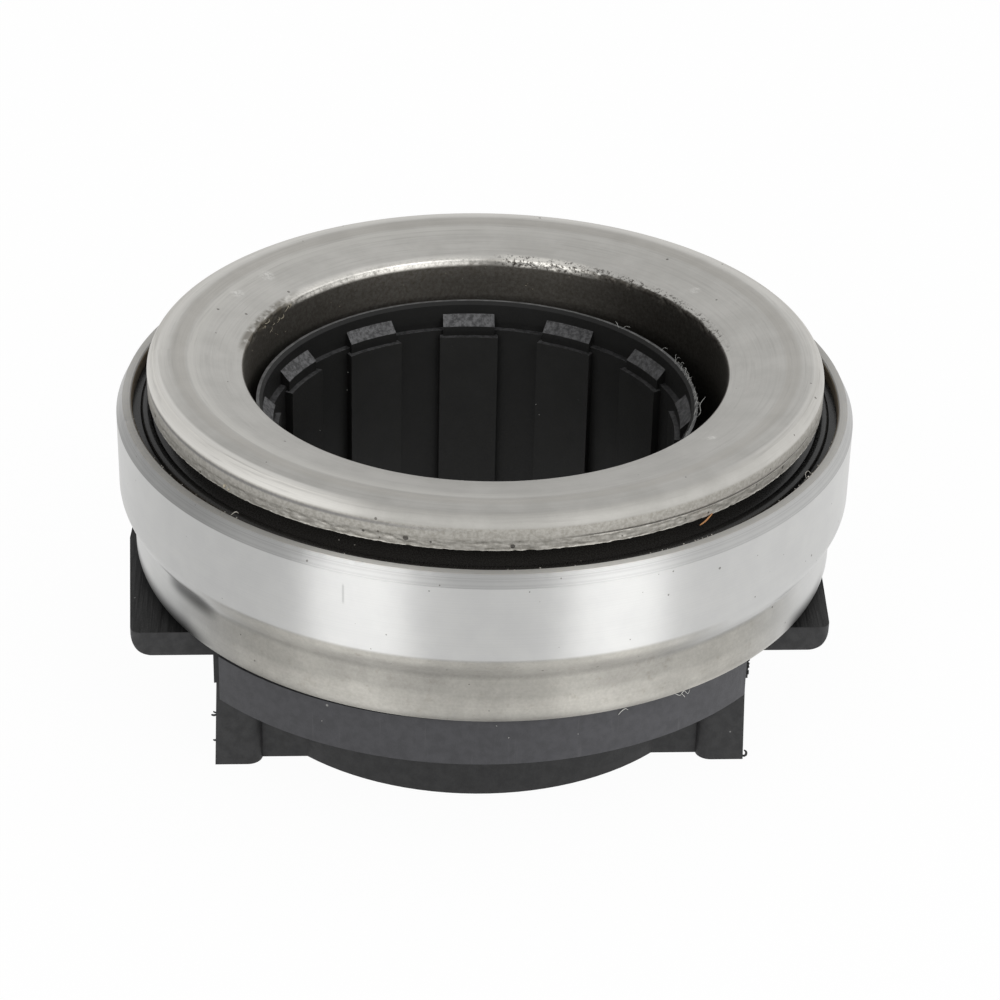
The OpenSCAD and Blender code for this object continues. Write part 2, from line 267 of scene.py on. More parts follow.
class Finish(Nodes):
    """One procedural material."""

    def __init__(self, name, **values):
        self.data = bpy.data.materials.new(name)
        self.data.use_nodes = True
        super().__init__(self.data.node_tree)
        self.shader = self.tree.nodes["Principled BSDF"]
        self.set(**values)

    def set(self, **sockets):
        for name, value in sockets.items():
            self.feed(self.shader.inputs[name.replace("_", " ")], value)
        return self

    def at(self, axis_x=AXIS_X):
        """The point in millimetres, from the foot of an upright axis."""
        point = self.add("TexCoord").outputs["Object"]
        return self.add("VectorMath", {0: point, 1: (1 / MM,) * 3, 2: (-axis_x, 0, 0)},
                        operation="MULTIPLY_ADD").outputs[0]

    def places(self, axis_x=AXIS_X):
        """The point about an upright axis, then its radius, its turn and its height."""
        point = self.at(axis_x)
        x, y, z = self.split(point)
        flat = self.plus(self.times(x, x), self.times(y, y))
        return point, self.math("SQRT", flat), self.math("ARCTAN2", y, x), z

    def facing_up(self):
        """How far the surface faces up: 1 for a level one, 0 for an upright one."""
        return self.split(self.add("TexCoord").outputs["Normal"])[2]

    def span(self, value, low, high, to_low=0.0, to_high=1.0):
        """Runs smoothly from one value to another as the input goes from low to high."""
        return self.add("MapRange", {0: value, 1: low, 2: high, 3: to_low, 4: to_high},
                        interpolation_type="SMOOTHSTEP").outputs[0]

    def window(self, value, low, high, soft):
        """1 between low and high, 0 outside, with soft ends."""
        rise = self.span(value, low - soft / 2, low + soft / 2)
        return self.times(rise, self.span(value, high - soft / 2, high + soft / 2, 1.0, 0.0))

    def toward(self, turn, middle, half, soft):
        """1 within a sector of the circle, given by its middle and half its width in degrees."""
        near = self.math("COSINE", self.math("SUBTRACT", turn, math.radians(middle)))
        inner, outer = (math.cos(math.radians(half + side * soft / 2)) for side in (-1, 1))
        return self.span(near, outer, inner)

    def noise(self, at, scale, detail=3.0, rough=0.5):
        node = self.add("TexNoise", {"Vector": at, "Scale": scale, "Detail": detail, "Roughness": rough})
        return node.outputs["Fac"]

    def specks(self, at, scale, size, share):
        """1 on small scattered specks: share of the cells that hold one, size against a cell's width."""
        node = self.add("TexVoronoi", {"Vector": at, "Scale": scale, "Randomness": 1.0})
        chance = self.split(node.outputs["Color"])
        held = self.math("LESS_THAN", chance[0], share)
        near = self.math("LESS_THAN", node.outputs["Distance"], self.times(chance[1], size))
        return self.times(held, near)

    def bump(self, height, depth, before=None):
        """Relief of that depth in millimetres."""
        inputs = {"Height": height, "Distance": depth * MM, "Strength": 1.0}
        if before is not None:
            inputs["Normal"] = before
        return self.add("Bump", inputs).outputs[0]

    def turned(self):
        """Tangents round the bearing's axis, for metal that was turned or ground."""
        self.set(Tangent=self.add("Tangent", direction_type="RADIAL", axis="Z").outputs[0])


def tint(red, green, blue):
    return (red, green, blue, 1.0)


def face_tones(m, places):
    """Thrust face: a pale zone, a dark ring outside it, and painted light: the face lighter at the back, the
    crown lighter at the back and sides, and a painted highlight on its edge at both sides.
    """
    point, r, turn, z = places
    streaks = m.noise(m.join(m.times(r, 5.0), m.times(turn, 4.0), z), 1.0, 3.0, 0.6)
    cloud = m.noise(point, 0.25, 4.0, 0.6)
    steel = m.mix(m.span(cloud, 0.3, 0.7), tint(0.45, 0.441, 0.417), tint(0.51, 0.50, 0.475))
    # Painted light: the face lighter towards the back
    colour = m.lift(steel, m.times(m.toward(turn, 90, 85, 70), 0.14))
    pale = m.times(m.span(r, *PALE_RISE), m.span(r, *PALE_FALL), m.toward(turn, 175, 105, 70))
    colour = m.mix(m.times(pale, 0.7), colour, tint(0.60, 0.588, 0.555))
    colour = m.mix(m.times(m.window(r, *DARK_RING, 0.4), 0.4), colour, tint(0.40, 0.38, 0.345))
    # Painted light: the crown lighter at the back and sides
    crown = m.times(m.span(r, *CROWN_RISE), m.toward(turn, 100, 95, 50))
    colour = m.mix(m.times(crown, 0.8), colour, tint(0.69, 0.675, 0.64))
    # Painted highlight along the crown's edge at the left and right
    side_glint = m.plus(m.toward(turn, 210, 31, 26), m.times(m.toward(turn, 341, 24, 26), 0.45))
    edge = m.times(m.span(r, *CROWN_EDGE), side_glint)
    colour = m.mix(m.times(edge, 0.8), colour, tint(0.86, 0.845, 0.81))
    return m.mix(m.times(m.span(streaks, 0.5, 0.75), 0.35), colour, tint(0.37, 0.36, 0.34))


def bore_edge_tones(m, places, colour, fine):
    """Bore's edge: grime at the left, then a bright worn stretch, chips, and dark pits at the right."""
    point, r, turn, z = places
    patchy = m.noise(point, 0.9, 3.0, 0.6)
    edge = m.times(m.window(r, BORE_R - 0.2, BORE_R + 0.75, 0.4),
                   m.span(z, BORE_EDGE[1] - 0.48, BORE_EDGE[1] - 0.08))
    grime = m.times(edge, m.toward(turn, *GRIME, 10), m.span(patchy, 0.35, 0.55))
    colour = m.mix(m.times(grime, 0.65), colour, tint(0.11, 0.095, 0.07))
    brushed = m.times(edge, m.toward(turn, *BRUSHED, 16), m.span(r, BORE_R + 0.7, BORE_R + 0.35))
    brushed = m.times(brushed, m.span(fine, 0.3, 0.6, 0.4, 1.0), m.span(patchy, 0.3, 0.5, 0.3, 1.0))
    colour = m.mix(brushed, colour, tint(0.82, 0.80, 0.75))
    chips = m.times(edge, m.toward(turn, *CHIPS, 8))
    colour = m.mix(m.times(chips, m.span(fine, 0.40, 0.52)), colour, tint(0.80, 0.78, 0.73))
    colour = m.mix(m.times(chips, m.span(fine, 0.43, 0.36)), colour, tint(0.11, 0.10, 0.09))
    pits = m.times(edge, m.toward(turn, *PITS, 16), m.span(fine, 0.51, 0.6))
    return m.mix(m.times(pits, 0.85), colour, tint(0.06, 0.052, 0.045))


def pale_marks(m, point, colour, fine):
    for x, y, size in PALE_MARKS:
        spot = (x - AXIS_X, y, FACE_TOP - 0.5)
        off = m.add("VectorMath", {0: point, 1: spot}, operation="DISTANCE").outputs["Value"]
        mark = m.times(m.span(off, size + 0.3, 0.2), m.span(fine, 0.40, 0.6))
        colour = m.mix(m.times(mark, 0.7), colour, tint(0.78, 0.77, 0.74))
    return colour


def rim_side_tones(m, places, colour, fine, side):
    """Side of the rim: torn below, a dark line above that at the front right, and a dark bluish painted
    reflection at the left.
    """
    point, r, turn, z = places
    torn = m.mix(m.span(fine, 0.35, 0.65), tint(0.34, 0.325, 0.29), tint(0.47, 0.455, 0.42))
    colour = m.mix(m.times(side, 0.9), colour, torn)
    holes = m.most(m.specks(point, 1.3, 0.36, 0.12), m.specks(point, 3.0, 0.4, 0.1))
    low = m.times(side, m.span(z, SHEAR_TOP + 0.1, SHEAR_TOP - 0.2))
    colour = m.mix(m.times(low, holes, 0.8), colour, tint(0.06, 0.055, 0.05))
    line = m.window(z, SHEAR_TOP - 0.07, SHEAR_TOP + 0.07, 0.08)
    line = m.times(m.span(r, RIM_R - 0.28, RIM_R - 0.13), line, m.toward(turn, *SHEAR_LINE, 16))
    colour = m.mix(m.times(line, 0.8), colour, tint(0.09, 0.085, 0.08))
    # Painted reflection: a dark bluish band high on the side at the left
    left_reflection = m.window(z, FACE_TOP - 1.4, FACE_TOP - 1.15, 0.2)
    left_reflection = m.times(m.span(r, RIM_R - 0.28, RIM_R - 0.08), left_reflection, m.toward(turn, 220, 34, 30))
    return m.mix(m.times(left_reflection, 0.65), colour, tint(0.17, 0.17, 0.18))


def thrust_steel():
    """Pressed and turned steel of the thrust ring: worn face, brown bore, dull side."""
    m = Finish("thrust_steel", Metallic=1.0, Anisotropic=0.3, Anisotropic_Rotation=0.25)
    m.turned()
    places = point, r, turn, z = m.places()
    lines = m.noise(m.join(r, z), 9.0, 4.0, 0.7)
    grain = m.noise(point, 6.0, 3.0, 0.6)
    fine = m.noise(point, 3.2, 4.0, 0.7)
    bore = m.times(m.span(r, BORE_R + 0.25, BORE_R + 0.1), m.span(fine, 0.2, 0.8, 0.8, 1.0))
    side = m.times(m.span(r, RIM_R - 0.23, RIM_R - 0.06), m.window(z, RIM_LOW - 0.2, SIDE_TOP, 0.3))
    colour = m.shade(face_tones(m, places), m.span(lines, 0.2, 0.8, 0.92, 1.05))
    colour = m.mix(bore, colour, tint(0.10, 0.09, 0.075))
    colour = m.dim(colour, m.times(bore, m.toward(turn, 5, 50, 50), 0.5))
    colour = bore_edge_tones(m, places, colour, fine)
    colour = pale_marks(m, point, colour, fine)
    colour = rim_side_tones(m, places, colour, fine, side)
    dots = m.specks(point, 0.8, 0.12, 0.16)
    colour = m.mix(m.times(dots, 0.75), colour, tint(0.12, 0.11, 0.10))
    rough = m.plus(m.span(lines, 0.2, 0.8, 0.31, 0.41), m.times(grain, 0.08))
    rough = m.plus(rough, m.times(m.plus(side, bore), 0.12))
    crown = m.times(m.span(r, RIM_R - 1.13, RIM_R - 0.63), m.span(z, FACE_TOP - 1.35, FACE_TOP - 0.95))
    rough = m.plus(rough, m.times(crown, 0.3))
    relief = m.bump(grain, 0.006, m.bump(lines, 0.004))
    return m.set(Base_Color=colour, Roughness=rough, Normal=relief).data


def neck_tones(m, turn, z, colour, sides):
    """Neck of the outer ring: painted shade that darkens it downwards at the front and back, and a dark lens
    near each ear that is a painted reflection of it.
    """
    # Painted shade: darker downwards at the front and back
    above = m.span(z, CUP_TOP - 0.2, CUP_TOP + 0.4)
    fall = m.times(m.span(z, BAND_LOW - 0.2, NECK_LOW + 0.1, 0.0, 0.26), above, sides)
    colour = m.dim(colour, fall)
    # Painted reflections of the ears: a dark lens at the left and a fainter one at the right
    left = m.times(m.toward(turn, *LEFT_LENS), m.span(z, CUP_LOW + 3.3, CUP_TOP),
                   m.span(z, BAND_LOW - 0.5, BAND_LOW - 1.3), 0.66)
    right = m.times(m.toward(turn, *RIGHT_LENS), m.window(z, NECK_LOW + 0.25, NECK_LOW + 1.15, 0.8), 0.25)
    return m.dim(colour, m.plus(left, right))


def cup_tones(m, turn, z, colour, sides):
    """Cup: painted shade at its foot, darkest beside the ears as a painted reflection of them, painted light
    just above, and painted shade where the lamps would shine on it most.
    """
    aside = m.math("ABSOLUTE", turn)
    ears = m.plus(m.toward(aside, *LEFT_EAR), m.toward(aside, *RIGHT_EAR))
    # Painted shade along the foot, and painted reflection of the ears beside them
    foot = m.times(m.span(z, CUP_LOW + 1.2, CUP_LOW + 0.4), m.rest(m.toward(turn, *UNSHADED_FOOT)), 0.4)
    beside = m.times(m.span(z, CUP_LOW + 2.5, CUP_LOW + 0.7), ears, 0.87)
    colour = m.dim(colour, m.most(foot, beside))
    # Painted shade where the lamps' reflection is brightest
    shine = m.plus(m.toward(turn, *LEFT_SHINE), m.toward(turn, *RIGHT_SHINE))
    colour = m.dim(colour, m.times(shine, m.window(z, CUP_LOW + 3.0, BAND_LOW - 1.0, 0.8), 0.18))
    # Painted light: a paler stretch above the foot
    pale = m.times(m.window(z, CUP_LOW + 1.3, CUP_LOW + 2.6, 0.6), m.rest(shine), sides, 0.14)
    return m.lift(colour, pale)


def ring_steel():
    """Outer ring: ground band above, neck darkened downwards by painted shade, dull drawn cup below with
    painted shade and painted light.
    """
    m = Finish("ring_steel", Anisotropic=1.0, Anisotropic_Rotation=0.25)
    m.turned()
    point, r, turn, z = m.places()
    lines = m.noise(m.join(r, z), 12.0, 4.0, 0.7)
    coarse = m.noise(m.join(r, z), 11.0, 3.0, 0.7)
    smudge = m.noise(point, 0.35, 4.0, 0.6)
    stain = m.noise(point, 1.1, 4.0, 0.65)
    fine = m.noise(point, 3.5, 4.0, 0.65)
    sides = m.plus(m.toward(turn, *DULL_SHADED_FRONT), m.toward(turn, *DULL_SHADED_BACK))
    neck = m.times(m.span(z, BAND_LOW, BAND_LOW - 0.4), m.toward(turn, *DULL_SHADED_NECK))
    cup = m.most(neck, m.times(m.span(z, NECK_LOW, CUP_TOP - 0.1), sides))
    band = m.mix(m.span(smudge, 0.3, 0.7), tint(0.64, 0.64, 0.632), tint(0.67, 0.67, 0.658))
    # Colour of the dull stretches: stained, and darker than the band as painted shade
    dull_shaded = m.mix(m.span(smudge, 0.35, 0.7), tint(0.48, 0.466, 0.43), tint(0.545, 0.53, 0.49))
    dull_shaded = m.mix(m.times(m.span(stain, 0.55, 0.75), 0.5), dull_shaded, tint(0.38, 0.355, 0.31))
    dull_shaded = m.shade(dull_shaded, m.span(fine, 0.25, 0.75, 0.93, 1.05))
    colour = m.shade(m.mix(cup, band, dull_shaded), m.span(lines, 0.25, 0.75, 0.96, 1.02))
    # Chamfer and lip: turned more coarsely than the band, with painted shade on the chamfer at the left, and
    # brown inside the lip
    cut = m.span(z, RING_TOP - CHAMFER_H - 0.05, RING_TOP - CHAMFER_H + 0.05)
    colour = m.lift(colour, m.times(cut, m.span(coarse, 0.35, 0.65, -0.26, -0.10)))
    colour = m.dim(colour, m.times(cut, m.toward(turn, *SHADED_CHAMFER), 0.25))
    lip = m.times(m.span(z, RING_TOP - 0.08, RING_TOP - 0.02), m.span(fine, 0.3, 0.7, 0.3, 1.0))
    colour = m.mix(m.times(lip, 0.5), colour, tint(0.56, 0.53, 0.47))
    inner = m.times(m.span(r, LIP_R + 0.15, LIP_R + 0.05), m.span(z, SEAT_Z - 1.18, SEAT_Z - 0.68))
    colour = m.mix(inner, colour, tint(0.16, 0.125, 0.08))
    colour = neck_tones(m, turn, z, colour, sides)
    colour = cup_tones(m, turn, z, colour, sides)
    # Specks, and one upright scratch at the front
    dots = m.most(m.specks(point, 0.9, 0.13, 0.14), m.specks(point, 2.4, 0.2, 0.03))
    colour = m.mix(m.times(dots, 0.7), colour, tint(0.14, 0.13, 0.12))
    scratch = m.times(m.toward(turn, *SCRATCH), m.window(z, *SCRATCH_Z, 0.4))
    colour = m.mix(m.times(scratch, 0.35), colour, tint(0.25, 0.25, 0.25))
    rough = m.plus(m.plus(0.40, m.times(cup, 0.28)), m.times(lines, 0.04))
    relief = m.bump(lines, 0.002)
    relief = m.bump(m.times(coarse, cut), 0.012, relief)
    relief = m.bump(m.times(fine, cup), 0.004, relief)
    return m.set(Base_Color=colour, Metallic=m.rest(m.times(cup, 0.1)), Roughness=rough, Normal=relief).data


def mouth_dust(m, places, colour, mottle):
    """Pale dust in the sleeve's mouth: thin on its level rim, crusted on the slopes of the rib heads, where
    the crust's paleness is also painted light on faces that look up, with painted shade towards the right.
    """
    point, r, turn, z = places
    up = m.facing_up()
    step = SLEEVE_TOP - 0.6
    mouth = m.times(m.span(z, RIB_END - 0.6, RIB_END - 0.2), m.span(r, SLEEVE_R + 0.2, SLEEVE_R + 0.1))
    level = m.times(m.span(z, step, step + 0.1), m.span(up, 0.8, 0.95))
    slopes = m.times(m.span(z, step + 0.1, step), m.span(up, 0.4, 0.6), m.span(up, 0.8, 0.95, 1.0, 0.5))
    thin = m.times(mouth, level, m.span(mottle, 0.3, 0.7, 0.5, 1.0))
    colour = m.mix(thin, colour, tint(0.15, 0.15, 0.15))
    crust = m.noise(point, 2.4, 4.0, 0.7)
    # Crust on the slopes of the rib heads, pale partly as painted light, and darker towards the right as
    # painted shade
    deposit_and_light = m.mix(m.span(crust, 0.36, 0.64), tint(0.04, 0.04, 0.041), tint(0.125, 0.125, 0.128))
    deposit_and_light = m.dim(deposit_and_light, m.times(m.toward(turn, 25, 40, 30), 0.4))
    return m.mix(m.times(mouth, slopes), colour, deposit_and_light)


def sleeve_plastic():
    """Black moulded plastic with glass fibre, greyer on the flange's rim and dusty where it faces up, with
    painted light on the ribs, lugs, ears, the rim's right side and the slopes of the rib heads.
    """
    m = Finish("sleeve_plastic", Metallic=0.0, Specular_IOR_Level=0.25)
    places = point, r, turn, z = m.places(0.0)
    x, y, _ = m.split(point)
    aside = m.math("ABSOLUTE", x)
    grain = m.noise(point, 7.0, 4.0, 0.65)
    cloud = m.noise(point, 0.4, 3.0, 0.6)
    drawn = m.noise(m.join(m.times(x, 3.0), m.times(y, 0.12), m.times(z, 2.0)), 1.0, 3.0, 0.6)
    upright = m.noise(m.join(m.times(x, 2.5), m.times(y, 2.5), m.times(z, 0.15)), 1.0, 3.0, 0.6)
    mottle = m.noise(point, 1.2, 4.0, 0.6)
    colour = m.mix(cloud, tint(0.0045, 0.0045, 0.0043), tint(0.009, 0.009, 0.0086))
    # Painted light: the ribs lighter than the grooves between them
    colour = m.shade(colour, m.span(r, RIB_R + 0.1, RIB_R + 0.5, 1.9, 1.3))
    # Rim of the flange: slate grey, lighter at the right as painted light
    rim = m.times(m.window(z, FLANGE_LOW - 0.1, FLANGE_TOP + 0.1, 0.1),
                  m.span(r, FLANGE_R - 0.43, FLANGE_R - 0.23), m.span(aside, CHEEK_X - 0.17, CHEEK_X - 0.37))
    slate = m.mix(m.span(mottle, 0.3, 0.7), tint(0.040, 0.040, 0.043), tint(0.050, 0.050, 0.054))
    slate = m.mix(m.times(m.span(upright, 0.6, 0.75), 0.35), slate, tint(0.075, 0.075, 0.078))
    # Painted light from the right
    slate = m.lift(slate, m.times(m.toward(turn, 312, 22, 40), 0.3))
    colour = m.mix(rim, colour, slate)
    # Boss, lugs and ears outside: dark grey, paler on the lugs and ears as painted light, with long marks on
    # the ears' tops
    below = m.span(z, FLANGE_TOP + 0.1, FLANGE_TOP - 0.1)
    outside = m.times(m.span(r, SLEEVE_R + 0.6, SLEEVE_R + 1.0), below, m.rest(rim))
    body = m.mix(m.span(mottle, 0.3, 0.7), tint(0.018, 0.018, 0.0185), tint(0.027, 0.027, 0.0275))
    body = m.shade(body, m.span(aside, *PALER_SIDES, 1.0, 1.3))
    colour = m.mix(outside, colour, body)
    ear = m.times(m.span(aside, CHEEK_X + 0.13, CHEEK_X + 0.33), m.span(m.facing_up(), 0.5, 0.8))
    drawn_tone = m.mix(m.span(drawn, 0.35, 0.7), tint(0.007, 0.007, 0.007), tint(0.022, 0.022, 0.022))
    colour = m.mix(ear, colour, drawn_tone)
    colour = mouth_dust(m, places, colour, mottle)
    white = m.specks(point, 0.6, 0.08, 0.10)
    colour = m.mix(m.times(white, 0.7), colour, tint(0.25, 0.25, 0.24))
    rough = m.span(grain, 0.25, 0.75, 0.42, 0.58)
    relief = m.bump(m.times(drawn, ear), 0.05, m.bump(grain, 0.012))
    return m.set(Base_Color=colour, Roughness=rough, Normal=relief).data


def seal_rubber():
    """Black rubber, lighter at the front as painted light, and brown with dirt near the outer ring at the
    front, made paler there as painted light.
    """
    m = Finish("seal_rubber", Metallic=0.0, Specular_IOR_Level=0.3)
    point, r, turn, _ = m.places()
    grain = m.noise(point, 9.0, 3.0, 0.6)
    # Painted light: the seal lighter at the front
    front = m.toward(turn, 264, 45, 40)
    colour = m.mix(grain, tint(0.006, 0.006, 0.006), tint(0.010, 0.0098, 0.0095))
    colour = m.mix(front, colour, tint(0.019, 0.018, 0.0165))
    # Dirt near the lip, made paler as painted light
    dirt_and_light = m.times(m.span(r, LIP_R - 0.95, LIP_R - 0.35), m.span(grain, 0.2, 0.7), front)
    colour = m.mix(dirt_and_light, colour, tint(0.42, 0.36, 0.28))
    dust = m.specks(point, 1.1, 0.12, 0.12)
    colour = m.mix(m.times(dust, 0.6), colour, tint(0.22, 0.2, 0.17))
    rough = m.span(grain, 0.25, 0.75, 0.2, 0.34)
    return m.set(Base_Color=colour, Roughness=rough, Normal=m.bump(grain, 0.004)).data


def plain_steel(name, shade, rough):
    """Steel of the hidden pieces, with fine marks."""
    m = Finish(name, Metallic=1.0)
    marks = m.noise(m.at(), 3.0, 4.0, 0.6)
    colour = m.mix(marks, tint(shade, shade, shade), tint(shade * 1.15, shade * 1.15, shade * 1.12))
    return m.set(Base_Color=colour, Roughness=m.span(marks, 0.2, 0.8, rough, rough + 0.15),
                 Normal=m.bump(marks, 0.003)).data


def cage_plastic():
    m = Finish("cage_plastic", Metallic=0.0)
    marks = m.noise(m.at(), 2.0, 4.0, 0.6)
    colour = m.mix(marks, tint(0.50, 0.43, 0.29), tint(0.62, 0.55, 0.40))
    return m.set(Base_Color=colour, Roughness=m.span(marks, 0.2, 0.8, 0.4, 0.55),
                 Normal=m.bump(marks, 0.01)).data


def lint(name, pale, deep):
    """Fibres and dust, from a pale to a deep tone."""
    m = Finish(name, Metallic=0.0)
    marks = m.noise(m.at(), 2.5, 2.0, 0.5)
    return m.set(Base_Color=m.mix(marks, pale, deep), Roughness=m.span(marks, 0.2, 0.8, 0.6, 0.8)).data


def dress(node, material):
    """Gives a CAD node its material."""
    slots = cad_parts[node].data.materials
    slots.clear()
    slots.append(material)


def add_piece(name, points, faces, material, body):
    """New smooth mesh from points in millimetres, riding on a body."""
    mesh = bpy.data.meshes.new(name)
    mesh.from_pydata([Vector(p) * MM for p in points], [], faces)
    mesh.polygons.foreach_set("use_smooth", [True] * len(mesh.polygons))
    mesh.materials.append(material)
    piece = bpy.data.objects.new(name, mesh)
    bpy.context.scene.collection.objects.link(piece)
    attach(piece, body)
    return piece


def run(start, end, steps):
    """Points (r, z) along a straight line, without its end."""
    return [tuple(a + (b - a) * i / steps for a, b in zip(start, end)) for i in range(steps)]


def arc(centre, wide, tall, start, end, steps):
    """Points (r, z) along part of an ellipse, without its end. Angles in degrees."""
    turns = [math.radians(start + (end - start) * i / steps) for i in range(steps)]
    return [(centre[0] + wide * math.cos(t), centre[1] + tall * math.sin(t)) for t in turns]


def bend(start, first, second, end, steps):
    """Points (r, z) along a curve that leaves and arrives along its two handles, without its end."""
    points = []
    for i in range(steps):
        t = i / steps
        shares = ((1 - t) ** 3, 3 * t * (1 - t) ** 2, 3 * t * t * (1 - t), t ** 3)
        knots = (start, first, second, end)
        points.append(tuple(sum(k * p[n] for k, p in zip(shares, knots)) for n in (0, 1)))
    return points


def ahead(point, lean, far):
    """The point (r, z) moved along a lean given in degrees."""
    return (point[0] + far * math.cos(math.radians(lean)), point[1] + far * math.sin(math.radians(lean)))


def thrust_outline():
    """Section of the thrust ring, from the foot of its bore up, over the face and back down outside."""
    under = (TUBE_R + UNDER_ROUND, RIM_LOW - (RIM_R - TUBE_R - UNDER_ROUND) * FACE_SLOPE)
    corner = (TUBE_R, under[1] - UNDER_ROUND)
    half = math.degrees(math.acos((PITCH_R - TUBE_R) / RACE_R))
    race_rise = RACE_R * math.sin(math.radians(half))
    wide, tall = FACE_EDGE[0] - BORE_EDGE[0], FACE_EDGE[1] - BORE_EDGE[1]
    rise = math.tan(math.radians(WORN_RISE))
    brink = (BORE_R, BORE_EDGE[1] - 1.0)
    inner = (FACE_EDGE[0] + 0.6, FACE_EDGE[1] + 0.6 * rise)
    crown = (CROWN_START, FACE_EDGE[1] + (CROWN_START - FACE_EDGE[0]) * rise)
    land = (CROWN_END, CROWN_TOP)
    over = [ahead(crown, WORN_RISE, 0.35), ahead(land, -CROWN_LEAN, -0.35)]
    start = RIM_R - CROWN_ROUND + CROWN_ROUND * math.sin(math.radians(CROWN_LEAN))
    edge = (start, CROWN_TOP - (start - CROWN_END) * math.tan(math.radians(CROWN_LEAN)))
    middle = (RIM_R - CROWN_ROUND, edge[1] - CROWN_ROUND * math.cos(math.radians(CROWN_LEAN)))
    return (run((BORE_R, TUBE_END), brink, 8)
            + run(brink, BORE_EDGE, 8)
            + arc((FACE_EDGE[0], BORE_EDGE[1]), wide, tall, 180, 90, 10)
            + run(FACE_EDGE, inner, 6)
            + run(inner, crown, 12)
            + bend(crown, *over, land, 8)
            + run(land, edge, 3)
            + arc(middle, CROWN_ROUND, CROWN_ROUND, 90 - CROWN_LEAN, 0, 18)
            + run((RIM_R, middle[1]), (RIM_R, RIM_LOW), 24)
            + run((RIM_R, RIM_LOW), under, 4)
            + run(under, corner, 3)
            + run(corner, (TUBE_R, BALL_Z + race_rise), 2)
            + arc((PITCH_R, BALL_Z), RACE_R, RACE_R, 180 - half, 180 + half, 10)
            + run((TUBE_R, BALL_Z - race_rise), (TUBE_R, TUBE_END), 2)
            + run((TUBE_R, TUBE_END), (BORE_R, TUBE_END), 2))


def ring_outline():
    """Section of the outer ring, from the foot of its floor's hole up inside and back down outside."""
    pitch = (PITCH_R, BALL_Z)
    low = math.degrees(math.acos((SHOULDER_R - PITCH_R) / RACE_R))
    high = math.degrees(math.acos((RING_BORE_R - PITCH_R) / RACE_R))
    lip = (LIP_R, RING_TOP - LIP_EDGE)
    lip_top = (LIP_R + LIP_EDGE, RING_TOP)
    chamfer = (RING_R - CHAMFER_W, RING_TOP)
    band_top = (RING_R, RING_TOP - CHAMFER_H)
    band = (RING_R, BAND_LOW)
    slope = (CUP_R + NECK_OUT, NECK_LOW)
    foot = (CUP_R, CUP_TOP)
    return (run((FLOOR_HOLE_R, CUP_LOW), (FLOOR_HOLE_R, FLOOR_TOP), 2)
            + run((FLOOR_HOLE_R, FLOOR_TOP), (SHOULDER_R - CUP_CORNER, FLOOR_TOP), 3)
            + run((SHOULDER_R - CUP_CORNER, FLOOR_TOP), (SHOULDER_R, FLOOR_TOP + CUP_CORNER), 2)
            + run((SHOULDER_R, FLOOR_TOP + CUP_CORNER), ahead(pitch, -low, RACE_R), 2)
            + arc(pitch, RACE_R, RACE_R, -low, high, 12)
            + run(ahead(pitch, high, RACE_R), (RING_BORE_R, SEAT_Z), 2)
            + run((RING_BORE_R, SEAT_Z), (LIP_R, SEAT_Z), 2)
            + run((LIP_R, SEAT_Z), lip, 4)
            + run(lip, lip_top, 4)
            + run(lip_top, chamfer, 6)
            + run(chamfer, band_top, 8)
            + run(band_top, band, 6)
            + bend(band, ahead(band, -90, 0.9), ahead(slope, NECK_LEAN, -0.6), slope, 14)
            + bend(slope, ahead(slope, NECK_LEAN, 0.25), ahead(foot, -90, -0.3), foot, 8)
            + run(foot, (CUP_R, CUP_LOW + CUP_CORNER), 5)
            + arc((CUP_R - CUP_CORNER, CUP_LOW + CUP_CORNER), CUP_CORNER, CUP_CORNER, 0, -90, 10)
            + run((CUP_R - CUP_CORNER, CUP_LOW), (FLOOR_HOLE_R, CUP_LOW), 4))


def bead_outline():
    """Section of the rounded bead on the seal, its foot sunk into the seal."""
    foot_z = BEAD_Z - BEAD_SUNK
    return (arc((BEAD_R, BEAD_Z), BEAD_WIDE, BEAD_TALL, 180, 0, 16)
            + run((BEAD_R + BEAD_WIDE, BEAD_Z), (BEAD_R + BEAD_WIDE, foot_z), 1)
            + run((BEAD_R + BEAD_WIDE, foot_z), (BEAD_R - BEAD_WIDE, foot_z), 4)
            + run((BEAD_R - BEAD_WIDE, foot_z), (BEAD_R - BEAD_WIDE, BEAD_Z), 1))


def smooth(value, low, high):
    t = min(max((value - low) / (high - low), 0.0), 1.0)
    return t * t * (3 - 2 * t)


def sector(turn, middle, half, soft):
    """1 within a sector of the circle, in degrees, fading out over its soft ends."""
    away = abs((turn - middle + 180) % 360 - 180)
    return 1 - smooth(away, half - soft / 2, half + soft / 2)


def thrust_wear(place, r, z, turn):
    """How far wear takes the thrust ring's surface in, in millimetres."""
    loss = 0.0
    if r < BORE_R + 1.2 and z > BORE_EDGE[1] - 0.5:
        near = 1 - smooth(math.hypot(r - BORE_R - 0.2, z - BORE_EDGE[1] - 0.25), 0.25, 0.7)
        chips = noise.fractal(place * 1.3, 0.9, 2.1, 3)
        brushed = sector(turn, *BRUSHED, 10)
        chipped = sector(turn, *CHIPPED_EDGE, 10) + sector(turn, *GRIME, 8)
        loss += near * (0.02 + 0.14 * brushed + 0.2 * chipped * max(chips, 0.0))
    if r > RIM_R - 0.05 and z < SIDE_TOP:
        rough = noise.fractal(place * 2.3, 0.7, 2.1, 4)
        loss += smooth(SHEAR_TOP - z, -0.05, 0.3) * (0.03 + 0.06 * max(rough, -0.4))
        loss += 0.1 * sector(turn, *SHEAR_LINE, 16) * math.exp(-((z - SHEAR_TOP) / 0.05) ** 2)
    return loss


